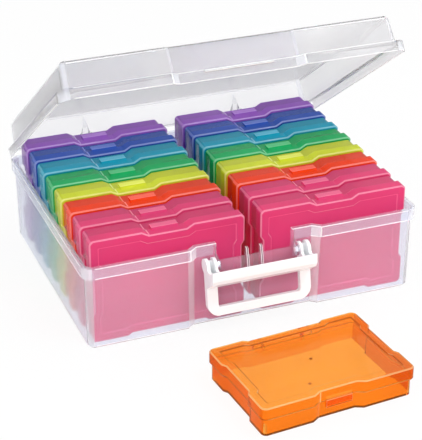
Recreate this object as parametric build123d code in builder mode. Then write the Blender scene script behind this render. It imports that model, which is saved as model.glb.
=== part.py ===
"""Photo keeper case: a clear carry box with an open hinged lid, a latching handle,
sixteen stored photo cases in two columns and one loose photo case lying in front of it.

Millimetres. X runs to the right, +Y to the back and +Z up. The origin is the middle of the tub's underside.
"""

import math
import os

from build123d import *

os.makedirs("parts", exist_ok=True)

# ---------------------------------------------------------------- tub
TUB_W = 380.0  # over the rim
TUB_D = 290.6  # over the rim
TUB_H = 97.4
TUB_WALL = 1.9
TUB_FLOOR = 2.4
TUB_CORNER = 13.0  # plan radius of the rim
TUB_FOOT = 3.0  # bevel round the underside
TUB_DRAFT = 1.2  # the walls lean in by this much from rim to foot
RIM_OUT = 3.4  # rim stands out from the wall
RIM_T = 1.5
RIM_DROP = 12.7  # depth of the hanging skirt
RECESS_MOUTH = 74.0  # half width of the handle recess where it leaves the front
RECESS_SLANT = 8.5
RECESS_D = 6.8
NOTCH_HALF = 43.3  # lowered middle of the recessed wall
NOTCH_DROP = 23.1  # from the rim's top down to it
FIN_X = 8.0
FIN_T = 2.6
FIN_RISE = 10.7  # above the lowered middle
FIN_FOOT = 2.5  # from the grip's crossbar up to the pad
FIN_PAD = 7.5  # height of the upright face that the hanging handle leans on
FIN_TAPER = 10.0  # height of the slope under that face
FIN_TIP = 2.4
FIN_GAP = 0.4  # behind the hanging handle

# ---------------------------------------------------------------- lid
LID_RISE = 32.6  # from the tub's rim to the top of the closed box
LID_WALL = 1.9
LID_IN_SIDE = 4.8  # the lid's walls stand in from the rim by these
LID_IN_FRONT = 5.5
LID_IN_BACK = 2.7
LID_DRAFT = 2.2
LID_CORNER = 9.0
LID_EDGE = 3.2  # bevel of the top edge
LID_STEP = 2.2  # the middle of the front wall is set back by this
LID_STEP_HALF = 70.0
SHOULDER_T = 1.8
SKIRT_GAP = 0.6  # round the tub rim
SKIRT_T = 1.6
SKIRT_DROP = 9.4  # how far the skirt reaches below the rim's top
SEAT_GAP = 0.2
TONGUE_HALF = 38.0
TONGUE_OUT = 6.7
TONGUE_T = 1.8
LID_OPEN = 35.5  # degrees from closed

# ---------------------------------------------------------------- lid hinge
HINGE_OUT = 8.7  # axis behind the rim
HINGE_UP = 2.6  # axis above the rim's top
HINGE_X = 95.0
HINGE_PIN_R = 2.4
HINGE_FIT = 0.06  # radial running clearance of both pivots
KNUCKLE_R = 5.0
KNUCKLE_W = 14.0
KNUCKLE_RIB = 24.0  # height of the rib above the axis
KNUCKLE_RIB_OUT = 2.0
KNUCKLE_RIB_FOOT = 9.0  # width of the rib where it leaves the knuckle
KNUCKLE_RIB_TIP = 1.6
HINGE_LUG_R = 5.5
HINGE_LUG_T = 3.0
LUG_STEP = 0.5  # the lug stands in from the rim's faces
SIDE_GAP = 0.4  # between knuckle and lug

# ---------------------------------------------------------------- handle
PIVOT_IN = 0.6  # axis behind the rim's front
PIVOT_DROP = 21.4  # axis below the rim's top
HANG = 9.4  # degrees that the hanging handle leans out
GRIP_HALF = 59.1
WINDOW_HALF = 47.1
GRIP_LENGTH = 56.6  # pivot to the lowest edge
WINDOW_TOP = 24.0
WINDOW_BOTTOM = 46.9
GRIP_T = 6.4
GRIP_CORNER = 14.0
WINDOW_CORNER = 3.0
ARM_LAP = 4.0  # the grip's arms run up into the ears by this much
EAR_R = 8.4
CHEEK_OUT = 3.5
CHEEK_IN = 3.0
EAR_WEB = 2.2
EAR_WEB_FOOT = 3.5  # the web starts inside the ear's round end by this
EAR_NOTCH = 3.5  # depth of the ear's front edge beside the lip
HOOK_REACH = 24.5
HOOK_T = 2.2
HOOK_BEND = 15.0  # below the pivot: where the gutter's floor turns up
HOOK_LIP = 10.5  # below the pivot: where the upright lip starts
HOOK_CURL = 4.0
HOOK_TOE = 6.0  # in front of the grip: where the floor leaves the crossbar
HOOK_WEB = 12.0  # below the pivot: top of the crossbar's back
HANDLE_PIN_R = 3.0
HANDLE_LUG_R = 7.0
HANDLE_LUG_T = 3.0
LUG_GAP = 0.8

# ---------------------------------------------------------------- photo cases
CASE_GAP_X = 17.7  # between the two columns
CASE_GAP_SIDE = 5.35  # to the tub's side wall at the rim
CASE_GAP_FRONT = 0.4  # from the recessed wall to the front row
CASE_GAP_BACK = 3.8  # from the back row to the back wall at the rim
CASE_GAP_ROW = 1.4
CASE_HEADROOM = 5.7  # under the closed lid's panel
CASE_PARTING = 19.6
CASE_WALL = 1.6
CASE_FLOOR = 1.6
CASE_CORNER = 6.5
CASE_INNER_CORNER = 1.5  # the least that a corner inside keeps
CASE_PROUD = 0.8  # the case lid stands out from its base
CASE_CHAMFER = 1.0
PANEL_INSET = 9.0
PANEL_D = 0.6
CASE_LATCH = (28.5, 8.0, 4.5)  # waists as half mouth, slant and depth
CASE_HINGE = (46.0, 5.0, 3.2)
CASE_END = (29.0, 5.0, 3.2)
TAB_HALF = 14.5
TAB_TOP = 24.5
TAB_BOTTOM = 12.6
TAB_T = 2.4
TAB_SLOPE = 3.5  # height of the tab's slanted top
TAB_GAP = 0.4
CASE_PIN_R = 0.9
CASE_KNUCKLE_R = 1.6
CASE_LUG_R = 1.35
CASE_AXIS_OUT = 0.2  # hinge axis behind the case's back face
CASE_EAR_X = 29.0
CASE_EAR_W = 10.0
CASE_LUG_T = 2.2
CASE_EAR_GAP = 0.2

ROWS = 8
LOOSE_X = 0.5
LOOSE_AHEAD = 137.5  # middle of the loose case in front of the tub's rim
LOOSE_TURN = 4.8

BEVEL_SHARE = 0.6  # a hidden corner is bevelled by this much of its radius
TOUCH = 0.01  # points this close count as on one line

RIM_HALF_D = TUB_D / 2
WALL_Y = RIM_HALF_D - RIM_OUT
RECESS_WALL_Y = -WALL_Y + RECESS_D
INNER_HALF_W = TUB_W / 2 - RIM_OUT - TUB_WALL
NOTCH_Z = TUB_H - NOTCH_DROP
LID_SEAT = TUB_H + SEAT_GAP
LID_TOP = TUB_H + LID_RISE
LID_SIDE = TUB_W / 2 - LID_IN_SIDE
LID_FRONT = RIM_HALF_D - LID_IN_FRONT
LID_BACK = RIM_HALF_D - LID_IN_BACK
HINGE_Y = RIM_HALF_D + HINGE_OUT
HINGE_Z = TUB_H + HINGE_UP
PIVOT_Y = PIVOT_IN - RIM_HALF_D
PIVOT_Z = TUB_H - PIVOT_DROP
SKIRT_BOTTOM = TUB_H - SKIRT_DROP
FRONT_CASE_Y = RECESS_WALL_Y + TUB_WALL + CASE_GAP_FRONT
ROW_PITCH = (WALL_Y - TUB_WALL - CASE_GAP_BACK - FRONT_CASE_Y + CASE_GAP_ROW) / ROWS
CASE_T = ROW_PITCH - CASE_GAP_ROW
CASE_W = INNER_HALF_W - CASE_GAP_SIDE - CASE_GAP_X / 2
CASE_D = LID_TOP - LID_WALL - CASE_HEADROOM - TUB_FLOOR
COLUMN_X = (CASE_GAP_X + CASE_W) / 2
LOOSE_Y = -RIM_HALF_D - LOOSE_AHEAD


def set_in(mouth, slant, depth, inset):
    """A waist's half mouth when its outline is moved inwards by inset."""
    return mouth + inset * (math.hypot(slant, depth) - slant) / depth


def plan(half_w, front, back, recess, radius):
    """A rounded rectangle in the current sketch whose front steps back in the middle."""
    mouth, slant, depth = recess
    Polygon(
        (-half_w, front),
        (-mouth, front),
        (slant - mouth, front + depth),
        (mouth - slant, front + depth),
        (mouth, front),
        (half_w, front),
        (half_w, back),
        (-half_w, back),
        align=None,
    )
    fillet([v for v in vertices() if abs(abs(v.X) - half_w) < TOUCH], radius)


def rounded_or_bevelled(half_w, front, back, radius, rounded):
    """A rectangle in the current sketch with round corners, or with bevelled ones where they don't show."""
    with Locations((0, (front + back) / 2)):
        Rectangle(2 * half_w, back - front)
    if rounded:
        fillet(vertices(), radius)
    else:
        chamfer(vertices(), BEVEL_SHARE * radius)


def drafted_block(half_w, front, back, radius, narrow_end, wide_end, lean, rounded):
    """A block between two heights whose first end is leaned in on all sides."""
    with BuildPart() as block:
        for height, inset in ((narrow_end, lean), (wide_end, 0)):
            with BuildSketch(Plane.XY.offset(height)):
                rounded_or_bevelled(half_w - inset, front + inset, back - inset, radius - inset, rounded)
        loft(ruled=True)
    return block.part


def tub_plan(inset):
    """The tub's outline at its rim, moved inwards by inset."""
    recess = (set_in(RECESS_MOUTH, RECESS_SLANT, RECESS_D, inset), RECESS_SLANT, RECESS_D)
    plan(TUB_W / 2 - inset, inset - RIM_HALF_D, RIM_HALF_D - inset, recess, TUB_CORNER - inset)


def tub_block(inset, low, rounded):
    """The leaning body of the tub, moved inwards by inset, with its upright recess cut out of the front."""
    block = drafted_block(
        TUB_W / 2 - inset,
        inset - RIM_HALF_D,
        RIM_HALF_D - inset,
        TUB_CORNER - inset,
        low,
        TUB_H,
        TUB_DRAFT * (TUB_H - low) / TUB_H,
        rounded,
    )
    floor_y = RECESS_D + inset - RIM_HALF_D
    half = set_in(RECESS_MOUTH, RECESS_SLANT, RECESS_D, inset) - RECESS_SLANT
    with BuildPart() as body:
        add(block)
        with BuildSketch(Plane.XY.offset(low)):
            Polygon(
                (half, floor_y),
                (half + 2 * RECESS_SLANT, floor_y - 2 * RECESS_D),
                (-half - 2 * RECESS_SLANT, floor_y - 2 * RECESS_D),
                (-half, floor_y),
                align=None,
            )
        extrude(amount=TUB_H - low, mode=Mode.SUBTRACT)
    return body.part


def side_plate(x, width, outline, centre=None, radius=0.0):
    """A plate that stands across X, with a round end where it has one, in the current part."""
    with BuildSketch(Plane.YZ.offset(x)) as profile:
        Polygon(*outline, align=None)
        if centre:
            with Locations(centre):
                Circle(radius)
    extrude(profile.sketch, amount=width / 2, both=True)


def cross_pin(x, y, z, radius, length, mode=Mode.ADD):
    """A round pin, or with SUBTRACT a bore, along X."""
    with Locations((x, y, z)):
        Cylinder(radius, length, rotation=(0, 90, 0), mode=mode)


# ================================================================ tub
tub_outside = tub_block(RIM_OUT, 0, rounded=True)
tub_inside = tub_block(RIM_OUT + TUB_WALL, TUB_FLOOR, rounded=False)

with BuildPart() as tub:
    add(tub_outside)
    chamfer(tub.faces().sort_by(Axis.Z)[0].edges(), TUB_FOOT)
    add(tub_inside, mode=Mode.SUBTRACT)
    # rim: a flange with a skirt that hangs clear of the wall
    with BuildSketch(Plane.XY.offset(TUB_H - RIM_T)):
        tub_plan(0)
        with BuildSketch(mode=Mode.SUBTRACT):
            tub_plan(RIM_OUT + TUB_WALL / 2)
    extrude(amount=RIM_T)
    with BuildSketch(Plane.XY.offset(TUB_H - RIM_DROP)):
        tub_plan(0)
        with BuildSketch(mode=Mode.SUBTRACT):
            tub_plan(RIM_T)
    extrude(amount=RIM_DROP)
    # lowered middle of the recessed wall
    with BuildSketch(Plane.XZ.offset(-RECESS_WALL_Y)):
        with Locations((0, NOTCH_Z)):
            Rectangle(2 * NOTCH_HALF, TUB_H, align=(Align.CENTER, Align.MIN))
    extrude(amount=4 * RIM_OUT, both=True, mode=Mode.SUBTRACT)
    # lugs that carry the handle, and fins that the hanging handle leans on
    rim_face = RECESS_WALL_Y - RIM_OUT
    wall_mid = RECESS_WALL_Y + TUB_WALL / 2
    hang_slope = math.tan(math.radians(HANG))
    for side in (-1, 1):
        lug_x = side * (NOTCH_HALF + HANDLE_LUG_T / 2)
        lug = [
            (wall_mid, PIVOT_Z - 2 * HANDLE_LUG_R),
            (PIVOT_Y, PIVOT_Z - HANDLE_LUG_R),
            (PIVOT_Y, PIVOT_Z + HANDLE_LUG_R),
            (rim_face, TUB_H - RIM_DROP + RIM_T),
            (rim_face, TUB_H),
            (wall_mid, TUB_H),
        ]
        side_plate(lug_x, HANDLE_LUG_T, lug, (PIVOT_Y, PIVOT_Z), HANDLE_LUG_R)
        cross_pin(
            lug_x,
            PIVOT_Y,
            PIVOT_Z,
            HANDLE_PIN_R + HINGE_FIT,
            2 * HANDLE_LUG_T,
            Mode.SUBTRACT,
        )
        back_at_pivot = PIVOT_Y + GRIP_T / 2 / math.cos(math.radians(HANG)) + FIN_GAP
        fin_low = PIVOT_Z - WINDOW_TOP + FIN_FOOT
        fin_high = fin_low + FIN_PAD
        fin = [
            (wall_mid, fin_low - FIN_TAPER),
            (back_at_pivot - hang_slope * (PIVOT_Z - fin_low), fin_low),
            (back_at_pivot - hang_slope * (PIVOT_Z - fin_high), fin_high),
            (RECESS_WALL_Y - FIN_TIP, NOTCH_Z + FIN_RISE),
            (wall_mid, NOTCH_Z + FIN_RISE),
        ]
        side_plate(side * FIN_X, FIN_T, fin)
    # lugs for the lid hinge behind the back rim
    for side in (-1, 1):
        for edge in (-1, 1):
            lug_x = side * HINGE_X + edge * (KNUCKLE_W / 2 + SIDE_GAP + HINGE_LUG_T / 2)
            lug = [
                (RIM_HALF_D - RIM_T, TUB_H - RIM_DROP + RIM_T),
                (RIM_HALF_D, TUB_H - RIM_DROP + RIM_T),
                (HINGE_Y - LUG_STEP, HINGE_Z - HINGE_LUG_R),
                (HINGE_Y, TUB_H - LUG_STEP),
                (RIM_HALF_D - RIM_T, TUB_H - LUG_STEP),
            ]
            side_plate(lug_x, HINGE_LUG_T, lug, (HINGE_Y, HINGE_Z), HINGE_LUG_R)
            cross_pin(
                lug_x,
                HINGE_Y,
                HINGE_Z,
                HINGE_PIN_R + HINGE_FIT,
                2 * HINGE_LUG_T,
                Mode.SUBTRACT,
            )

# ================================================================ lid, drawn closed


def lid_plan(inset):
    """The lid wall's outline at its shoulder, moved inwards by inset."""
    recess = (set_in(LID_STEP_HALF, LID_STEP, LID_STEP, inset), LID_STEP, LID_STEP)
    plan(LID_SIDE - inset, inset - LID_FRONT, LID_BACK - inset, recess, LID_CORNER - inset)


def lid_block(inset, rounded):
    """The leaning body of the lid, moved inwards by inset, with the middle of its front wall set back."""
    lean_at_top = LID_DRAFT * (LID_TOP - inset - LID_SEAT) / (LID_TOP - LID_SEAT)
    block = drafted_block(
        LID_SIDE - inset,
        inset - LID_FRONT,
        LID_BACK - inset,
        LID_CORNER - inset,
        LID_TOP - inset,
        LID_SEAT,
        lean_at_top,
        rounded,
    )
    slope = math.atan(LID_DRAFT / (LID_TOP - LID_SEAT))
    front_wall = Plane(
        origin=(0, inset - LID_FRONT, LID_SEAT),
        x_dir=(1, 0, 0),
        z_dir=(0, -math.cos(slope), math.sin(slope)),
    )
    with BuildPart() as body:
        add(block)
        with BuildSketch(front_wall):
            Rectangle(2 * set_in(LID_STEP_HALF, LID_STEP, LID_STEP, inset), 3 * LID_TOP)
        extrude(amount=-LID_STEP, taper=45, mode=Mode.SUBTRACT)
    return body.part


def skirt_plan(inset):
    """The lid skirt's outline, which follows the tub rim outside it."""
    out = SKIRT_GAP + SKIRT_T - inset
    mouth = set_in(RECESS_MOUTH, RECESS_SLANT, RECESS_D, -out)
    half_d = RIM_HALF_D + out
    plan(TUB_W / 2 + out, -half_d, half_d, (mouth, RECESS_SLANT, RECESS_D), TUB_CORNER + out)


lid_outside = lid_block(0, rounded=True)
lid_inside = lid_block(LID_WALL, rounded=False)

with BuildPart() as lid_closed:
    add(lid_outside)
    chamfer(lid_closed.faces().sort_by(Axis.Z)[-1].edges(), LID_EDGE)
    add(lid_inside, mode=Mode.SUBTRACT)
    # shoulder that seats on the tub rim
    with BuildSketch(Plane.XY.offset(LID_SEAT)):
        skirt_plan(0)
        with BuildSketch(mode=Mode.SUBTRACT):
            lid_plan(LID_WALL / 2)
    extrude(amount=SHOULDER_T)
    # skirt round the front and the sides, as far as the rim runs straight
    skirt_end = RIM_HALF_D - TUB_CORNER - SKIRT_GAP
    with BuildSketch(Plane.XY.offset(SKIRT_BOTTOM)):
        skirt_plan(0)
        with BuildSketch(mode=Mode.SUBTRACT):
            skirt_plan(SKIRT_T)
        with Locations((0, skirt_end)):
            Rectangle(2 * TUB_W, TUB_D, align=(Align.CENTER, Align.MIN), mode=Mode.SUBTRACT)
    extrude(amount=LID_SEAT + SHOULDER_T - SKIRT_BOTTOM)
    # tongue that the handle's hook takes hold of
    tongue_y = RECESS_WALL_Y - RIM_OUT - SKIRT_GAP - SKIRT_T / 2
    with BuildSketch(Plane.XY.offset(LID_SEAT - SEAT_GAP - TONGUE_T)):
        with Locations((0, tongue_y)):
            Rectangle(
                2 * TONGUE_HALF,
                TONGUE_OUT + SKIRT_T / 2,
                align=(Align.CENTER, Align.MAX),
            )
    extrude(amount=TONGUE_T)
    # hinge knuckles, each with a pin through it and a pointed rib up the back wall
    for side in (-1, 1):
        knuckle = [
            (LID_BACK - LID_WALL / 2, LID_SEAT),
            (HINGE_Y - KNUCKLE_R / 2, LID_SEAT),
            (HINGE_Y, HINGE_Z + KNUCKLE_R),
            (LID_BACK + KNUCKLE_RIB_OUT, HINGE_Z + KNUCKLE_RIB / 2),
            (LID_BACK - LID_WALL / 2, HINGE_Z + KNUCKLE_RIB),
        ]
        back_view = [
            (KNUCKLE_W, HINGE_Z - 2 * KNUCKLE_R),
            (KNUCKLE_W, HINGE_Z + KNUCKLE_R),
            (KNUCKLE_RIB_FOOT / 2, HINGE_Z + KNUCKLE_R),
            (KNUCKLE_RIB_TIP / 2, HINGE_Z + KNUCKLE_RIB),
        ]
        with BuildPart():
            side_plate(side * HINGE_X, KNUCKLE_W, knuckle, (HINGE_Y, HINGE_Z), KNUCKLE_R)
            with BuildSketch(Plane.XZ.offset(-HINGE_Y)):
                with Locations((side * HINGE_X, 0)):
                    Polygon(*back_view, *((-x, z) for x, z in reversed(back_view)), align=None)
            extrude(amount=HINGE_Y - LID_BACK + KNUCKLE_R, both=True, mode=Mode.INTERSECT)
        pin_length = KNUCKLE_W + 2 * (SIDE_GAP + HINGE_LUG_T)
        cross_pin(side * HINGE_X, HINGE_Y, HINGE_Z, HINGE_PIN_R, pin_length)

# ================================================================ handle
hang = math.radians(HANG)
forward = (0, -math.cos(hang), math.sin(hang))
FACE = Plane(origin=(0, PIVOT_Y, PIVOT_Z), x_dir=(1, 0, 0), z_dir=forward)  # y points up the arms
SECTION = Plane(origin=(0, PIVOT_Y, PIVOT_Z), x_dir=forward, z_dir=(1, 0, 0))  # y points down the arms
half_t = GRIP_T / 2
lip_in = HOOK_REACH - HOOK_T
HOOK_OUTSIDE = (
    (HOOK_TOE, WINDOW_TOP - 1),
    (HOOK_REACH - HOOK_CURL, HOOK_BEND),
    (HOOK_REACH - 1, HOOK_LIP),
    (HOOK_REACH, 0.4),
    (lip_in, 0.2),
)

with BuildPart() as handle:
    # grip: a flat U with rounded edges
    with BuildSketch(FACE.offset(-half_t)):
        with BuildLine():
            Polyline(
                (-GRIP_HALF, ARM_LAP - WINDOW_TOP),
                (-GRIP_HALF, -GRIP_LENGTH),
                (GRIP_HALF, -GRIP_LENGTH),
                (GRIP_HALF, ARM_LAP - WINDOW_TOP),
                close=True,
            )
        make_face()
        fillet(vertices().group_by(Axis.Y)[0], GRIP_CORNER)
        with BuildSketch(mode=Mode.SUBTRACT):
            with Locations((0, -WINDOW_TOP)):
                Rectangle(
                    2 * WINDOW_HALF,
                    WINDOW_BOTTOM - WINDOW_TOP,
                    align=(Align.CENTER, Align.MAX),
                )
            fillet(vertices().group_by(Axis.Y)[0], WINDOW_CORNER)
    extrude(amount=GRIP_T)
    # hook: a gutter across the full width that curls up at its front edge
    with BuildSketch(SECTION.offset(-GRIP_HALF)):
        with BuildLine():
            Polyline(
                (-half_t, WINDOW_TOP),
                (half_t, WINDOW_TOP),
                *HOOK_OUTSIDE,
                (lip_in - 1, HOOK_LIP - 1),
                (lip_in - HOOK_CURL + 0.6, HOOK_BEND - HOOK_T + 0.2),
                (HOOK_TOE - 0.8, WINDOW_TOP - HOOK_T - 1.4),
                (half_t - HOOK_T - 1, WINDOW_TOP - HOOK_T - 1.8),
                (half_t - HOOK_T - 1, HOOK_WEB),
                (-half_t, HOOK_WEB),
                close=True,
            )
        make_face()
    extrude(amount=2 * GRIP_HALF)
    # ears: two cheeks each, with a web behind them
    ear = [
        (-half_t, 0),
        (-half_t, WINDOW_TOP),
        (half_t, WINDOW_TOP),
        *HOOK_OUTSIDE,
        (lip_in - HOOK_CURL, EAR_NOTCH),
        (EAR_R + 2, EAR_NOTCH),
        (EAR_R - 1.5, 0),
    ]
    for side in (-1, 1):
        for inner, width in ((WINDOW_HALF, CHEEK_IN), (GRIP_HALF - CHEEK_OUT, CHEEK_OUT)):
            middle = side * (inner + width / 2)
            with BuildSketch(SECTION.offset(middle)):
                with BuildLine():
                    Polyline(*ear, close=True)
                make_face()
                Circle(EAR_R)
            extrude(amount=width / 2, both=True)
        with BuildSketch(SECTION.offset(side * (GRIP_HALF + WINDOW_HALF) / 2)):
            with Locations((-half_t, EAR_WEB_FOOT - EAR_R)):
                Rectangle(EAR_WEB, WINDOW_TOP + ARM_LAP, align=(Align.MIN, Align.MIN))
        extrude(amount=(GRIP_HALF - WINDOW_HALF) / 2, both=True)
        pin_in = LUG_GAP + HANDLE_LUG_T
        cross_pin(
            side * (WINDOW_HALF - pin_in / 2 + CHEEK_IN / 2),
            PIVOT_Y,
            PIVOT_Z,
            HANDLE_PIN_R,
            pin_in + CHEEK_IN,
        )

# ================================================================ photo case, drawn lying flat


def case_plan(inset, rounded):
    """The case's waisted outline in the current sketch, moved inwards by inset, with round or bevelled corners."""
    half_w = CASE_W / 2 - inset
    half_d = CASE_D / 2 - inset
    latch, hinge, end = (
        (set_in(*waist, inset), waist[1], waist[2]) for waist in (CASE_LATCH, CASE_HINGE, CASE_END)
    )
    Polygon(
        (-half_w, -half_d),
        (-latch[0], -half_d),
        (latch[1] - latch[0], latch[2] - half_d),
        (latch[0] - latch[1], latch[2] - half_d),
        (latch[0], -half_d),
        (half_w, -half_d),
        (half_w, -end[0]),
        (half_w - end[2], end[1] - end[0]),
        (half_w - end[2], end[0] - end[1]),
        (half_w, end[0]),
        (half_w, half_d),
        (hinge[0], half_d),
        (hinge[0] - hinge[1], half_d - hinge[2]),
        (hinge[1] - hinge[0], half_d - hinge[2]),
        (-hinge[0], half_d),
        (-half_w, half_d),
        (-half_w, end[0]),
        (end[2] - half_w, end[0] - end[1]),
        (end[2] - half_w, end[1] - end[0]),
        (-half_w, -end[0]),
        align=None,
    )
    sides = [v for v in vertices() if abs(abs(v.X) - half_w) < TOUCH]
    corners = [v for v in sides if abs(abs(v.Y) - half_d) < TOUCH]
    radius = max(CASE_CORNER - inset, CASE_INNER_CORNER)
    if rounded:
        fillet(corners, radius)
    else:
        chamfer(corners, radius / 2)


HINGE_WAIST_Y = CASE_D / 2 - CASE_HINGE[2]
CASE_AXIS_Y = CASE_D / 2 + CASE_AXIS_OUT
CASE_AXIS = (CASE_AXIS_Y, CASE_PARTING)


def hinge_place(side, inward):
    """Where along X a hinge piece stands that lies inward of the middle of its ear."""
    return side * (CASE_EAR_X - inward)


def case_base(loose):
    """The tray of a photo case; a loose one has round corners and the lugs that its lid turns in."""
    with BuildPart() as base:
        with BuildSketch(Plane.XY):
            case_plan(CASE_PROUD, loose)
        extrude(amount=CASE_PARTING)
        with BuildSketch(Plane.XY.offset(CASE_FLOOR)):
            case_plan(CASE_PROUD + CASE_WALL, False)
        extrude(amount=CASE_PARTING, mode=Mode.SUBTRACT)
        if loose:
            wall_y = HINGE_WAIST_Y - CASE_PROUD
            lug = [
                (wall_y - CASE_WALL / 2, CASE_PARTING - 4 * CASE_LUG_R),
                (wall_y, CASE_PARTING - 4 * CASE_LUG_R),
                (CASE_AXIS_Y + CASE_LUG_R, CASE_PARTING - CASE_LUG_R),
                (CASE_AXIS_Y + CASE_LUG_R, CASE_PARTING + CASE_LUG_R / 2),
                (CASE_AXIS_Y + CASE_LUG_R / 2, CASE_PARTING + CASE_LUG_R),
                (CASE_AXIS_Y - CASE_LUG_R, CASE_PARTING + CASE_LUG_R),
                (CASE_AXIS_Y - CASE_LUG_R, CASE_PARTING),
                (wall_y - CASE_WALL / 2, CASE_PARTING),
            ]
            for side in (-1, 1):
                lug_x = hinge_place(side, CASE_EAR_W / 2 + CASE_EAR_GAP + CASE_LUG_T / 2)
                side_plate(lug_x, CASE_LUG_T, lug)
                bore = CASE_PIN_R + HINGE_FIT
                cross_pin(lug_x, *CASE_AXIS, bore, 2 * CASE_LUG_T, Mode.SUBTRACT)
    return base.part


def case_lid(loose, panel):
    """The lid of a photo case with its latch tab; panel gives it the sunk panel and loose the hinge pins."""
    with BuildPart() as cover:
        with BuildSketch(Plane.XY.offset(CASE_PARTING)):
            case_plan(0, loose)
        extrude(amount=CASE_T - CASE_PARTING)
        chamfer(cover.faces().sort_by(Axis.Z)[-1].edges(), CASE_CHAMFER)
        with BuildSketch(Plane.XY.offset(CASE_PARTING)):
            case_plan(CASE_WALL, False)
        extrude(amount=CASE_T - CASE_PARTING - CASE_FLOOR - PANEL_D, mode=Mode.SUBTRACT)
        if panel:
            with BuildSketch(Plane.XY.offset(CASE_T - PANEL_D)):
                case_plan(PANEL_INSET, False)
            extrude(amount=PANEL_D, mode=Mode.SUBTRACT)
        # latch tab: hangs from the lid in front of the base
        tab_back = CASE_LATCH[2] - CASE_D / 2
        tab = [
            (tab_back + CASE_WALL / 2, TAB_TOP),
            (tab_back + CASE_WALL / 2, CASE_PARTING),
            (tab_back + CASE_PROUD - TAB_GAP, CASE_PARTING),
            (tab_back + CASE_PROUD - TAB_GAP, TAB_BOTTOM),
            (tab_back - TAB_T, TAB_BOTTOM),
            (tab_back - TAB_T, TAB_TOP - TAB_SLOPE),
            (tab_back, TAB_TOP),
        ]
        side_plate(0, 2 * TAB_HALF, tab)
        if loose:
            ear = [
                (HINGE_WAIST_Y - CASE_WALL / 2, CASE_PARTING),
                (CASE_AXIS_Y, CASE_PARTING - CASE_KNUCKLE_R),
                (CASE_AXIS_Y + CASE_KNUCKLE_R, CASE_PARTING - CASE_KNUCKLE_R / 2),
                (CASE_AXIS_Y + CASE_KNUCKLE_R, CASE_PARTING + CASE_KNUCKLE_R),
                (HINGE_WAIST_Y - CASE_WALL / 2, CASE_PARTING + 3 * CASE_KNUCKLE_R),
            ]
            reach = CASE_EAR_GAP + CASE_LUG_T
            for side in (-1, 1):
                side_plate(hinge_place(side, 0), CASE_EAR_W, ear)
                pin_x = hinge_place(side, CASE_EAR_W / 2 + reach / 2)
                cross_pin(pin_x, *CASE_AXIS, CASE_PIN_R, reach)
    return cover.part


def save(shape, name):
    """Write one finished sub-part under its own name."""
    shape.label = name
    export_step(shape, f"parts/{name}.step")


# ================================================================ placing
hinge_axis = Axis((0, HINGE_Y, HINGE_Z), (1, 0, 0))
save(tub.part, "outer_tub")
save(lid_closed.part.rotate(hinge_axis, -LID_OPEN), "outer_lid")
save(handle.part, "carry_handle")

stored_base = case_base(loose=False)
front_lid = case_lid(loose=False, panel=True)
stored_lid = case_lid(loose=False, panel=False)
for column, side in (("left", -1), ("right", 1)):
    for row in range(ROWS):
        back_y = FRONT_CASE_Y + row * ROW_PITCH + CASE_T
        seat = (side * COLUMN_X, back_y, TUB_FLOOR + CASE_D / 2)
        standing = Plane(origin=seat, x_dir=(-1, 0, 0), z_dir=(0, -1, 0)).location
        name = f"case_{column}_{row + 1}"
        save(stored_base.moved(standing), f"{name}_base")
        save((stored_lid if row else front_lid).moved(standing), f"{name}_lid")

turn = math.radians(LOOSE_TURN)
along = (math.cos(turn), math.sin(turn), 0)
lying = Plane(origin=(LOOSE_X, LOOSE_Y, 0), x_dir=along, z_dir=(0, 0, 1)).location
save(case_base(loose=True).moved(lying), "case_loose_base")
save(case_lid(loose=True, panel=True).moved(lying), "case_loose_lid")
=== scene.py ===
import math

import bmesh
import bpy
from mathutils import Matrix, Vector


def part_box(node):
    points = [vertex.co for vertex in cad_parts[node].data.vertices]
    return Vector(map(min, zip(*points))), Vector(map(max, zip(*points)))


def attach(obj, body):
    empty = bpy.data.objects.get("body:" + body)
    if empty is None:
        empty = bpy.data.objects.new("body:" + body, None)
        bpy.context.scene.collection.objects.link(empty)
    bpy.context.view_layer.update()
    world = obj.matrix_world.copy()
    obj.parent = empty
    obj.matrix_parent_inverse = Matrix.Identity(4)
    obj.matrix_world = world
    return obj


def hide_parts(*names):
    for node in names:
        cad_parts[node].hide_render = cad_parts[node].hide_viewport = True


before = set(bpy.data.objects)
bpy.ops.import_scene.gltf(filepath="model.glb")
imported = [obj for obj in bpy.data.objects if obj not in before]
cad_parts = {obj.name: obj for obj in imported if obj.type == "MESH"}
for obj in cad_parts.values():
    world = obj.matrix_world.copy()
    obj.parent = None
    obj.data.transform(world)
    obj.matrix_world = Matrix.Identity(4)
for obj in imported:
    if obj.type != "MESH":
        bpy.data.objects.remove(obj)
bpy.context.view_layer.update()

# ------------------------------------------------------------------ studio
# A white paper sweep in an evenly lit white room, with a broad lamp at the left shoulder, a weaker
# one from the right and a small one above for the edges. The paper keeps only a faint shadow.

viewpoint = bpy.data.objects.new("viewpoint", bpy.data.cameras.new("viewpoint"))
bpy.context.collection.objects.link(viewpoint)
viewpoint.location = (-0.56637, -1.46135, 0.86999)
viewpoint.rotation_euler = (math.radians(62.351), 0, math.radians(-21.348))
viewpoint.data.sensor_fit = "HORIZONTAL"
viewpoint.data.sensor_width = 36
viewpoint.data.lens = 132.83
bpy.context.scene.camera = viewpoint
bpy.context.scene.view_settings.view_transform = "Standard"


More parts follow.
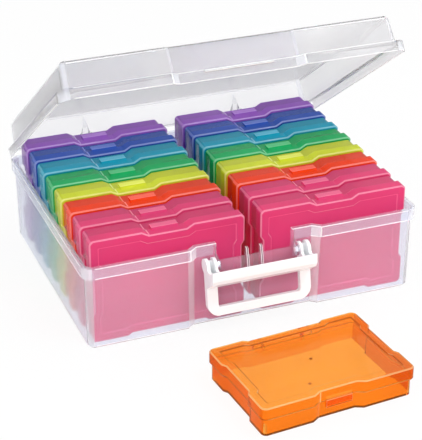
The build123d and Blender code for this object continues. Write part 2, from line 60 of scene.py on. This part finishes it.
def glow_where_seen(tree, shader, glow_kind, share, surface):
    """Mixes plain white into a shader wherever it is seen, straight, mirrored or through plastic."""
    rays = tree.nodes.new("ShaderNodeLightPath")
    seen = rays.outputs["Is Camera Ray"]
    for kind in ("Is Glossy Ray", "Is Transmission Ray"):
        either = tree.nodes.new("ShaderNodeMath")
        either.operation = "MAXIMUM"
        tree.links.new(seen, either.inputs[0])
        tree.links.new(rays.outputs[kind], either.inputs[1])
        seen = either.outputs[0]
    part = tree.nodes.new("ShaderNodeMath")
    part.operation = "MULTIPLY"
    part.inputs[1].default_value = share
    tree.links.new(seen, part.inputs[0])
    white = tree.nodes.new(glow_kind)
    white.inputs["Color"].default_value = (1, 1, 1, 1)
    white.inputs["Strength"].default_value = 1
    mix = tree.nodes.new("ShaderNodeMixShader")
    tree.links.new(part.outputs[0], mix.inputs["Fac"])
    tree.links.new(shader.outputs[0], mix.inputs[1])
    tree.links.new(white.outputs[0], mix.inputs[2])
    tree.links.new(mix.outputs[0], surface)


room = bpy.data.worlds.new("room")
bpy.context.scene.world = room
room.use_nodes = True
daylight = room.node_tree.nodes["Background"]
daylight.inputs["Color"].default_value = (1, 1, 1, 1)
daylight.inputs["Strength"].default_value = 0.86
room_surface = room.node_tree.nodes["World Output"].inputs["Surface"]
glow_where_seen(room.node_tree, daylight, "ShaderNodeBackground", 1.0, room_surface)

lamp_target = Vector((0, 0, 0.1))
for lamp_name, place, size, watts in (
    ("key_lamp", (-0.8, -1.5, 1.0), 0.9, 8),
    ("fill_lamp", (1.3, -0.8, 0.9), 0.8, 3),
    ("edge_lamp", (0.57, -0.8, 1.5), 0.35, 5),
):
    lamp = bpy.data.objects.new(lamp_name, bpy.data.lights.new(lamp_name, "AREA"))
    bpy.context.collection.objects.link(lamp)
    lamp.data.size = size
    lamp.data.energy = watts
    lamp.location = place
    lamp.rotation_euler = (lamp_target - Vector(place)).to_track_quat("-Z", "Y").to_euler()

bpy.ops.object.select_all(action="DESELECT")
bpy.ops.mesh.primitive_plane_add(size=12, location=(0, 0, -0.0005))
sweep = bpy.context.object
sweep.name = "paper_sweep"
paper = bpy.data.materials.new("sweep_paper")
paper.use_nodes = True
matt = paper.node_tree.nodes["Principled BSDF"]
matt.inputs["Base Color"].default_value = (0.92, 0.92, 0.92, 1)
matt.inputs["Roughness"].default_value = 0.9
paper_surface = paper.node_tree.nodes["Material Output"].inputs["Surface"]
glow_where_seen(paper.node_tree, matt, "ShaderNodeEmission", 0.9, paper_surface)
sweep.data.materials.append(paper)

# ------------------------------------------------------------------ tub
# The carry box's tub, injection moulded in one piece from frosted clear polypropylene, with a
# hanging rim, a set-back front for the handle, its lugs and two small fins. It stands by itself.

# a moulding's list of plastics starts with its own, then the copies painted on its edges and corners: milkier
# or paler ones are painted highlights, deeper ones painted shade
painted_edge_number, highlight_corner_number = 1, 2


def pick(piece):
    """Makes one piece the only selected and active one."""
    bpy.ops.object.select_all(action="DESELECT")
    piece.select_set(True)
    bpy.context.view_layer.objects.active = piece


def moulding(node, name, *plastics):
    """A copy of a node's mesh with its loose triangles joined up into whole faces, none of them hollow."""
    piece = bpy.data.objects.new(name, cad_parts[node].data.copy())
    bpy.context.collection.objects.link(piece)
    piece.data.materials.clear()
    for kind in plastics:
        piece.data.materials.append(kind)
    pick(piece)
    bpy.ops.object.mode_set(mode="EDIT")
    bpy.ops.mesh.select_all(action="SELECT")
    bpy.ops.mesh.remove_doubles(threshold=0.000004)
    bpy.ops.mesh.dissolve_limited(angle_limit=math.radians(0.6))
    bpy.ops.mesh.vert_connect_concave()
    bpy.ops.object.mode_set(mode="OBJECT")
    return piece


def choose_edges(piece, wanted):
    """Selects the edges of a piece that pass a test on the edge and on how sharply it turns."""
    pick(piece)
    bpy.ops.object.mode_set(mode="EDIT")
    bpy.ops.mesh.select_mode(type="EDGE")
    bpy.ops.mesh.select_all(action="DESELECT")
    mesh = bmesh.from_edit_mesh(piece.data)
    for edge in mesh.edges:
        if edge.is_manifold:
            edge.select_set(wanted(edge, math.degrees(edge.calc_face_angle())))
    bmesh.update_edit_mesh(piece.data)


def runs_clear(edge, sharp=40):
    """Whether neither end of an edge meets a sharp inward corner."""
    return not any(
        other.is_manifold and not other.is_convex and math.degrees(other.calc_face_angle()) > sharp
        for end_shade in edge.verts
        for other in end_shade.link_edges
    )


def soften(piece, width, segments=2, sharp=32):
    """Rounds a moulding's sharp outer edges in its edge plastic, if it has one, which paints a highlight
    along them (painted shade on the loose tray), and smooths its curves.
    """
    shortest = 4 * width
    choose_edges(
        piece,
        lambda edge, turn: edge.is_convex
        and turn > sharp
        and edge.calc_length() > shortest
        and runs_clear(edge),
    )
    # the roundings take the edge plastic: a painted highlight along them, painted shade on the loose tray
    bpy.ops.mesh.bevel(
        offset=width, segments=segments, affect="EDGES", clamp_overlap=False, material=painted_edge_number
    )
    bpy.ops.mesh.select_all(action="SELECT")
    bpy.ops.mesh.remove_doubles(threshold=0.000008)
    bpy.ops.mesh.dissolve_degenerate(threshold=0.000004)
    bpy.ops.mesh.vert_connect_concave()
    bpy.ops.object.mode_set(mode="OBJECT")
    bpy.ops.object.shade_smooth_by_angle(angle=math.radians(20))
    shading = piece.modifiers.new("shading", "WEIGHTED_NORMAL")
    shading.weight = 100
    shading.keep_sharp = True
    bpy.ops.object.modifier_apply(modifier="shading")


def give_plastic(piece, number, wanted):
    """Gives the faces of a piece that pass a test the plastic of that number."""
    for face in piece.data.polygons:
        if wanted(face):
            face.material_index = number


def plastic(name, tint, clearness, roughness, through=None, ior=1.4, drift=0.05, grain=0.0, gloss=0.0):
    """A moulded plastic whose tint drifts a little as it flowed. Light may pass to its shadow, tinted."""
    material = bpy.data.materials.new(name)
    material.use_nodes = True
    tree = material.node_tree
    body = tree.nodes["Principled BSDF"]
    body.inputs["Transmission Weight"].default_value = clearness
    body.inputs["IOR"].default_value = ior
    body.inputs["Coat Weight"].default_value = gloss
    body.inputs["Coat Roughness"].default_value = 0.12
    place = tree.nodes.new("ShaderNodeTexCoord")
    flow = tree.nodes.new("ShaderNodeTexNoise")
    flow.inputs["Scale"].default_value = 11
    flow.inputs["Detail"].default_value = 2
    tree.links.new(place.outputs["Object"], flow.inputs["Vector"])
    shade = tree.nodes.new("ShaderNodeValToRGB")
    shade.color_ramp.elements[0].position = 0.3
    shade.color_ramp.elements[0].color = (*[c * (1 - drift) for c in tint], 1)
    shade.color_ramp.elements[1].position = 0.7
    shade.color_ramp.elements[1].color = (*[min(1, c * (1 + drift)) for c in tint], 1)
    tree.links.new(flow.outputs["Fac"], shade.inputs["Fac"])
    tree.links.new(shade.outputs["Color"], body.inputs["Base Color"])
    polish = tree.nodes.new("ShaderNodeMapRange")
    polish.inputs["To Min"].default_value = roughness * 0.85
    polish.inputs["To Max"].default_value = roughness * 1.15
    tree.links.new(flow.outputs["Fac"], polish.inputs["Value"])
    tree.links.new(polish.outputs["Result"], body.inputs["Roughness"])
    if grain:
        speckle = tree.nodes.new("ShaderNodeTexNoise")
        speckle.inputs["Scale"].default_value = 700
        tree.links.new(place.outputs["Object"], speckle.inputs["Vector"])
        frost = tree.nodes.new("ShaderNodeBump")
        frost.inputs["Strength"].default_value = grain
        frost.inputs["Distance"].default_value = 0.0002
        tree.links.new(speckle.outputs["Fac"], frost.inputs["Height"])
        tree.links.new(frost.outputs["Normal"], body.inputs["Normal"])
    if through:
        rays = tree.nodes.new("ShaderNodeLightPath")
        window = tree.nodes.new("ShaderNodeBsdfTransparent")
        window.inputs["Color"].default_value = (*through, 1)
        mix = tree.nodes.new("ShaderNodeMixShader")
        tree.links.new(rays.outputs["Is Shadow Ray"], mix.inputs["Fac"])
        tree.links.new(body.outputs[0], mix.inputs[1])
        tree.links.new(window.outputs[0], mix.inputs[2])
        tree.links.new(mix.outputs[0], tree.nodes["Material Output"].inputs["Surface"])
    return material


frosted_clear = plastic(
    "frosted_clear_plastic",
    tint=(0.91, 0.93, 0.985),
    clearness=0.895,
    roughness=0.23,
    through=(0.93, 0.93, 0.95),
    ior=1.08,
    drift=0.02,
    gloss=0.1,
    grain=0.06,
)
# a milkier copy of the frosted plastic, painted on the rounded edges as a painted highlight
milky_edge_highlight = plastic(
    "frosted_edge_plastic",
    tint=(0.98, 0.98, 1.0),
    clearness=0.15,
    roughness=0.36,
    through=(0.93, 0.93, 0.95),
    ior=1.12,
    drift=0.02,
)
# a slightly milkier copy, painted in the tight upright corners as a painted highlight down each corner
milky_corner_highlight = plastic(
    "frosted_corner_highlight_plastic",
    tint=(0.94, 0.95, 0.98),
    clearness=0.72,
    roughness=0.23,
    through=(0.93, 0.93, 0.95),
    ior=1.08,
    drift=0.02,
)
tub = moulding("outer_tub", "tub_moulding", frosted_clear, milky_edge_highlight, milky_corner_highlight)
# the tub's upright corners get the painted corner highlight
give_plastic(
    tub,
    highlight_corner_number,
    lambda face: min(abs(face.normal.x), abs(face.normal.y)) > 0.25 and abs(face.normal.z) < 0.4,
)
soften(tub, 0.0007)
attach(tub, "tub")
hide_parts("outer_tub")

# ------------------------------------------------------------------ lid
# The carry box's lid, moulded from the same frosted clear plastic as the tub. It snaps on by two
# knuckles with a pin each, and has a skirt that drops over the tub's rim and a tongue for the hook.


def gate_mark(piece, place, radius, depth, number, tilt=0.0):
    """The small round scar on a moulding where the plastic ran in, with a dished top."""
    bpy.ops.object.select_all(action="DESELECT")
    bpy.ops.mesh.primitive_cylinder_add(
        vertices=16, radius=radius, depth=depth, location=place, rotation=(tilt, 0, 0)
    )
    scar = bpy.context.object
    scar.data.materials.clear()
    bpy.ops.object.transform_apply(location=True, rotation=True, scale=False)
    bpy.ops.object.mode_set(mode="EDIT")
    bpy.ops.mesh.select_mode(type="FACE")
    bpy.ops.mesh.select_all(action="DESELECT")
    mesh = bmesh.from_edit_mesh(scar.data)
    for face in mesh.faces:
        face.select_set(len(face.verts) > 4 and face.normal.z > 0)
    bmesh.update_edit_mesh(scar.data)
    bpy.ops.mesh.inset(thickness=radius * 0.45, depth=-0.00015)
    bpy.ops.object.mode_set(mode="OBJECT")
    piece.select_set(True)
    bpy.context.view_layer.objects.active = piece
    bpy.ops.object.join()
    largest_area = 0.00001  # in square metres, more than the scar's own faces have
    give_plastic(
        piece,
        number,
        lambda face: (face.center - Vector(place)).length < radius + depth and face.area < largest_area,
    )


frosted_lid = plastic(
    "frosted_lid_plastic",
    tint=(0.905, 0.905, 0.915),
    clearness=0.88,
    roughness=0.22,
    through=(0.93, 0.93, 0.95),
    ior=1.2,
    drift=0.02,
    grain=0.06,
)
lid = moulding("outer_lid", "lid_moulding", frosted_lid, milky_edge_highlight, milky_corner_highlight)
largest_corner_area = 0.0006  # in square metres, less than its panel and walls have
# the lid's small corner faces get the painted corner highlight
give_plastic(
    lid,
    highlight_corner_number,
    lambda face: min(abs(face.normal.x), Vector(face.normal.yz).length) > 0.3
    and face.area < largest_corner_area,
)
lid_stands_open = math.radians(35.5)
# the two gate marks take the milky edge plastic, so they show as painted highlights
for aside in (-0.0023, 0.0023):
    gate_mark(
        lid,
        place=(aside, 0.0471, 0.2120),
        radius=0.0015,
        depth=0.0026,
        number=painted_edge_number,
        tilt=-lid_stands_open,
    )
soften(lid, 0.0007)
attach(lid, "lid")
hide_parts("outer_lid")

# ------------------------------------------------------------------ handle
# The white swinging handle, moulded in one piece with its hook and its two hollow ears. Stub pins
# inside the ears snap into the tub's lugs.

handle_white = plastic(
    "handle_white_plastic",
    tint=(0.96, 0.98, 1.0),
    clearness=0.0,
    roughness=0.22,
    drift=0.01,
    grain=0.1,
)
handle = moulding("carry_handle", "handle_moulding", handle_white)
soften(handle, 0.0008, segments=3)
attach(handle, "handle")
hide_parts("carry_handle")

# ------------------------------------------------------------------ stored photo cases
# Sixteen snap-shut cases for photo prints, eight to a column, standing on their hinge side. Each is
# a tray and a cover with a latch tab, both moulded thin from tinted translucent plastic.

# a case is finished lying flat, where its own right, back and up are the box's left, down and front
front_row = {half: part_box(f"case_left_1_{half}") for half in ("base", "lid")}
case_half_w = (front_row["lid"][1][0] - front_row["lid"][0][0]) / 2
case_half_d = (front_row["lid"][1][2] - front_row["lid"][0][2]) / 2
case_depth = front_row["base"][1][1] - front_row["lid"][0][1]
corner_reach = 0.013  # no part of a round corner is further from the case's ends than this
end_waist, side_waist = 0.0034, 0.0048  # as deep as the outline's waists go, and a little more
waist_foot = (0.0195, 0.0215)  # the latch waist's foot lies between these, beside the case's middle
waist_front = 0.0525  # and further than this in front of it
flange_foot, flange_bend = 0.0172, 0.0184  # heights between which the tray's rim flange turns out
tray_lean = (0.9822, 0.9746, 1)  # brings the tray's walls in by 1.5 mm
lugs_half_w, lugs_front = 0.034, 0.0562  # room round the loose tray's hinge lugs
rim_bevel, rim_lowered = 0.001, 0.0002  # height of the cover's bevelled rim, and what is added to it
rim_narrowed = (0.9929, 0.9898, 1)  # brings the rim's upper side in by 0.6 mm
panel_sunk, panel_lowered = 0.0006, 0.0002  # depth of the cover's panel, and what is added to it
panel_narrowed = (0.983, 0.9745, 1)  # brings the panel's sides in by 1.3 mm
panel_half_w, panel_half_d = 0.077, 0.052  # the panel's sides lie inside these
band_reach = 0.003  # the rim's slanted band is no wider than this
tab_half_w, tab_front = 0.014, 0.057  # the latch tab's front is no wider, and lies further out
gate_radius, gate_depth = 0.0016, 0.0005
# after its own and the edge plastic, a case has one for its steps and one for its tab and corners; on the
# stored cases these three are paler copies of its tint, painted highlights, and on the loose case they are
# mostly deeper copies, painted shade
painted_step_number, painted_tab_number = 2, 3


def choose_points(piece, wanted):
    """Selects the points of a piece that pass a test on their place."""
    pick(piece)
    bpy.ops.object.mode_set(mode="EDIT")
    bpy.ops.mesh.select_mode(type="VERT")
    bpy.ops.mesh.select_all(action="DESELECT")
    mesh = bmesh.from_edit_mesh(piece.data)
    for point in mesh.verts:
        point.select_set(wanted(point.co))
    mesh.select_flush(True)
    bmesh.update_edit_mesh(piece.data)


def at_height(point, height, slack=0.00005):
    """Whether a point lies at a height."""
    return abs(point.z - height) < slack


def level(edge, height):
    """Whether an edge lies flat at a height."""
    return all(at_height(end_shade.co, height, slack=0.00003) for end_shade in edge.verts)


def upright(edge, least_rise):
    """Whether one end of an edge is higher than the other by a given rise or more."""
    return abs(edge.verts[0].co.z - edge.verts[1].co.z) > least_rise


def on_outline(point, inset):
    """Whether a point is on the case's outline, waists too, or no further in than the inset."""
    return (
        abs(point.x) > case_half_w - end_waist - inset
        or abs(point.y) > case_half_d - side_waist - inset
    )


def slants_near_top(face):
    """Whether a face belongs to the slanted band of a cover's rim or of the step round its panel."""
    return 0.2 < face.normal.z < 0.97 and face.center.z > case_depth - 0.0015


def round_corners(piece):
    """Rounds the four corners of a case half, inside and out, where they are only bevelled, and paints the
    middle of each rounding in the tab plastic: a painted highlight on the stored cases, painted shade on the
    loose one.
    """
    choose_edges(
        piece,
        lambda edge, turn: turn > 25
        and upright(edge, 0.0007)
        and abs(edge.verts[0].co.x) > case_half_w - corner_reach
        and abs(edge.verts[0].co.y) > case_half_d - corner_reach,
    )
    bpy.ops.mesh.bevel(offset=0.0014, segments=4, affect="EDGES", clamp_overlap=True)
    bpy.ops.object.mode_set(mode="OBJECT")
    # the middle of each rounding takes the tab plastic, a painted highlight down the corner on the stored
    # cases and painted shade on the loose one
    give_plastic(
        piece,
        painted_tab_number,
        lambda face: min(abs(face.normal.x), abs(face.normal.y)) > 0.55 and face.area > 0.000002,
    )


def fill_waist_foot(piece, side):
    """Fills the inner corner at one foot of the latch waist in the edge plastic, a painted highlight there
    except on the loose tray, where it is painted shade.
    """
    choose_edges(
        piece,
        lambda edge, turn: not edge.is_convex
        and turn > 15
        and upright(edge, 0.002)
        and all(
            waist_foot[0] < end_shade.co.x * side < waist_foot[1] and end_shade.co.y < -waist_front
            for end_shade in edge.verts
        ),
    )
    bpy.ops.mesh.bevel(
        offset=0.0009, segments=2, affect="EDGES", clamp_overlap=False, material=painted_edge_number
    )
    bpy.ops.object.mode_set(mode="OBJECT")


def finish_tray(piece, side):
    """A case's tray, lying flat: round corners, a rim flange that the cover sits on, and a rounded foot."""
    round_corners(piece)
    for height in (flange_bend, flange_foot):
        pick(piece)
        bpy.ops.object.mode_set(mode="EDIT")
        bpy.ops.mesh.select_all(action="SELECT")
        bpy.ops.mesh.bisect(plane_co=(0, 0, height), plane_no=(0, 0, 1))
        bpy.ops.object.mode_set(mode="OBJECT")
    choose_points(
        piece,
        lambda point: point.z < flange_foot + 0.00005
        and not (abs(point.x) < lugs_half_w and point.y > lugs_front),
    )
    bpy.ops.transform.resize(value=tray_lean, center_override=(0, 0, 0))
    bpy.ops.object.mode_set(mode="OBJECT")
    choose_edges(piece, lambda edge, turn: turn > 60 and level(edge, 0))
    bpy.ops.mesh.bevel(offset=0.0012, segments=3, affect="EDGES", clamp_overlap=True)
    bpy.ops.object.mode_set(mode="OBJECT")
    # the gate mark takes the step plastic: a paler copy, a painted highlight, on the stored cases, and a
    # deeper one, painted shade, on the loose case
    gate_mark(piece, (0, 0, 0.0016), gate_radius, gate_depth, painted_step_number)
    fill_waist_foot(piece, side)
    soften(piece, 0.0003)


def finish_cover(piece, side):
    """A case's cover, lying flat: round corners, a slanted rim, and a step round the sunk panel."""
    round_corners(piece)
    choose_points(piece, lambda point: at_height(point, case_depth - rim_bevel) and on_outline(point, 0.0001))
    bpy.ops.transform.translate(value=(0, 0, -rim_lowered))
    bpy.ops.object.mode_set(mode="OBJECT")
    choose_points(piece, lambda point: at_height(point, case_depth) and on_outline(point, 0.0012))
    bpy.ops.transform.resize(value=rim_narrowed, center_override=(0, 0, 0))
    bpy.ops.object.mode_set(mode="OBJECT")
    choose_points(
        piece,
        lambda point: at_height(point, case_depth - panel_sunk)
        and abs(point.x) < panel_half_w
        and abs(point.y) < panel_half_d,
    )
    bpy.ops.transform.resize(value=panel_narrowed, center_override=(0, 0, 0))
    bpy.ops.transform.translate(value=(0, 0, -panel_lowered))
    bpy.ops.object.mode_set(mode="OBJECT")
    # the rim's slanted band and the panel step take the step plastic, the outer band the edge plastic and the
    # tab's front the tab plastic: painted highlights on the stored cases; on the loose cover the rim band is
    # a painted highlight, the step and tab painted shade
    give_plastic(piece, painted_step_number, slants_near_top)
    give_plastic(
        piece,
        painted_edge_number,
        lambda face: slants_near_top(face) and on_outline(face.center, band_reach),
    )
    give_plastic(
        piece,
        painted_tab_number,
        lambda face: abs(face.center.x) < tab_half_w and face.normal.y < -0.9 and face.center.y < -tab_front,
    )
    choose_edges(
        piece,
        lambda edge, turn: turn > 30
        and (level(edge, case_depth) or level(edge, case_depth - rim_bevel - rim_lowered))
        and all(on_outline(end_shade.co, 0.0024) for end_shade in edge.verts),
    )
    bpy.ops.mesh.bevel(offset=0.0006, segments=2, affect="EDGES", clamp_overlap=True)
    bpy.ops.object.mode_set(mode="OBJECT")
    # the gate mark takes the step plastic, painted as described for the tray's
    gate_mark(piece, (0, 0, case_depth - 0.0008), gate_radius, gate_depth, painted_step_number)
    fill_waist_foot(piece, side)
    soften(piece, 0.0003, sharp=34)


tints = {
    "pink": (0.89, 0.095, 0.30),
    "orange": (1.0, 0.085, 0.006),
    "yellow": (0.80, 0.86, 0.05),
    "green": (0.012, 0.58, 0.19),
    "teal": (0.008, 0.48, 0.65),
    "blue": (0.04, 0.135, 0.58),
    "purple": (0.42, 0.16, 0.65),
}
rows = ("pink", "pink", "orange", "yellow", "green", "teal", "blue", "purple")
# each tint's plastics: the tray's own, a little darker than the cover's, the cover's own, and paler copies
# painted on the rims, steps, tab and rounded corners as painted highlights
case_plastics = {
    (slot, kind): plastic(
        f"{slot}_{kind}_plastic",
        tint=[(c + (1 - c) * paler) * strength for c in tint],
        clearness=clearness,
        roughness=0.12,
        through=[c ** 0.5 for c in tint],
        ior=1.2,
    )
    for slot, tint in tints.items()
    for kind, paler, strength, clearness in (
        ("base", 0.0, 0.85, 0.55),
        ("lid", 0.0, 1.0, 0.55),
        ("edge", 0.26, 1.0, 0.35),
        ("step_highlight", 0.05, 1.0, 0.4),
        ("tab_highlight", 0.12, 1.0, 0.4),
    )
}

# the middle of the underside of the front left case's tray
seat = (
    (front_row["lid"][0][0] + front_row["lid"][1][0]) / 2,
    front_row["base"][1][1],
    (front_row["lid"][0][2] + front_row["lid"][1][2]) / 2,
)
standing = Matrix(((-1, 0, 0, seat[0]), (0, 0, -1, seat[1]), (0, -1, 0, seat[2]), (0, 0, 0, 1)))
for half, finish in (("base", finish_tray), ("lid", finish_cover)):
    kinds = (half, "edge", "step_highlight", "tab_highlight")
    front_plastics = [case_plastics[rows[0], kind] for kind in kinds]
    pattern = moulding(f"case_left_1_{half}", f"case_{half}_pattern", *front_plastics)
    pattern.data.transform(standing.inverted())
    finish(pattern, 1)
    pattern.data.transform(standing)
    for row, slot in enumerate(rows, start=1):
        for column in ("left", "right"):
            node = f"case_{column}_{row}_{half}"
            shell = bpy.data.objects.new(f"{node}_moulding", pattern.data.copy())
            bpy.context.collection.objects.link(shell)
            from_front_row = Vector(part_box(node)[1]) - Vector(front_row[half][1])
            shell.data.transform(Matrix.Translation(from_front_row))
            for number, kind in enumerate(kinds):
                shell.data.materials[number] = case_plastics[slot, kind]
            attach(shell, f"case_{column}_{row}")
            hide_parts(node)
    bpy.data.objects.remove(pattern)

# ------------------------------------------------------------------ loose photo case
# One more of the same cases, in clear orange, lying shut on the table in front of the box. Its cover
# turns on two short pins that snap into the tray's lugs.

# its walls have the fourth plastic too, and its two ends a fifth: deeper copies of its orange, painted shade
wall_shade_number, end_shade_number = painted_tab_number, 4
# lit and shaded copies of one orange: the pale one is a painted highlight on the cover's rim, the edge, deep,
# wall and end ones are painted shade
loose_orange, loose_pale_highlight, loose_edge_shade, loose_deep_shade, loose_wall_shade, loose_end_shade = [
    plastic(
        f"loose_{kind}_plastic",
        tint=tint,
        clearness=clearness,
        roughness=0.06,
        through=(1.0, 0.72, 0.38),
        ior=ior,
    )
    for kind, tint, clearness, ior in (
        ("orange", (1.0, 0.60, 0.19), 0.95, 1.2),
        ("pale_highlight", (1.0, 0.60, 0.28), 0.6, 1.2),
        ("edge", (0.90, 0.30, 0.05), 0.65, 1.2),
        ("deep_shade", (0.45, 0.10, 0.015), 0.4, 1.2),
        ("wall_shade", (0.95, 0.38, 0.04), 0.95, 1.15),
        ("end_shade", (0.85, 0.25, 0.02), 0.85, 1.08),
    )
]
loose_place, loose_turn = (0.0005, -0.2828, 0), math.radians(4.8)
lying = Matrix.Translation(loose_place) @ Matrix.Rotation(loose_turn, 4, "Z")
for node, body, finish, painted_edge_plastic in (
    ("case_loose_base", "case_loose", finish_tray, loose_edge_shade),
    ("case_loose_lid", "case_loose_cover", finish_cover, loose_pale_highlight),
):
    shell = moulding(node, f"{node}_moulding", loose_orange, painted_edge_plastic, loose_deep_shade, loose_wall_shade, loose_end_shade)
    shell.data.transform(lying.inverted())
    # the walls and the two ends take their painted shade
    give_plastic(shell, wall_shade_number, lambda face: abs(face.normal.z) < 0.3)
    give_plastic(shell, end_shade_number, lambda face: abs(face.normal.x) > 0.8)
    finish(shell, -1)
    shell.data.transform(lying)
    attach(shell, body)
    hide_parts(node)
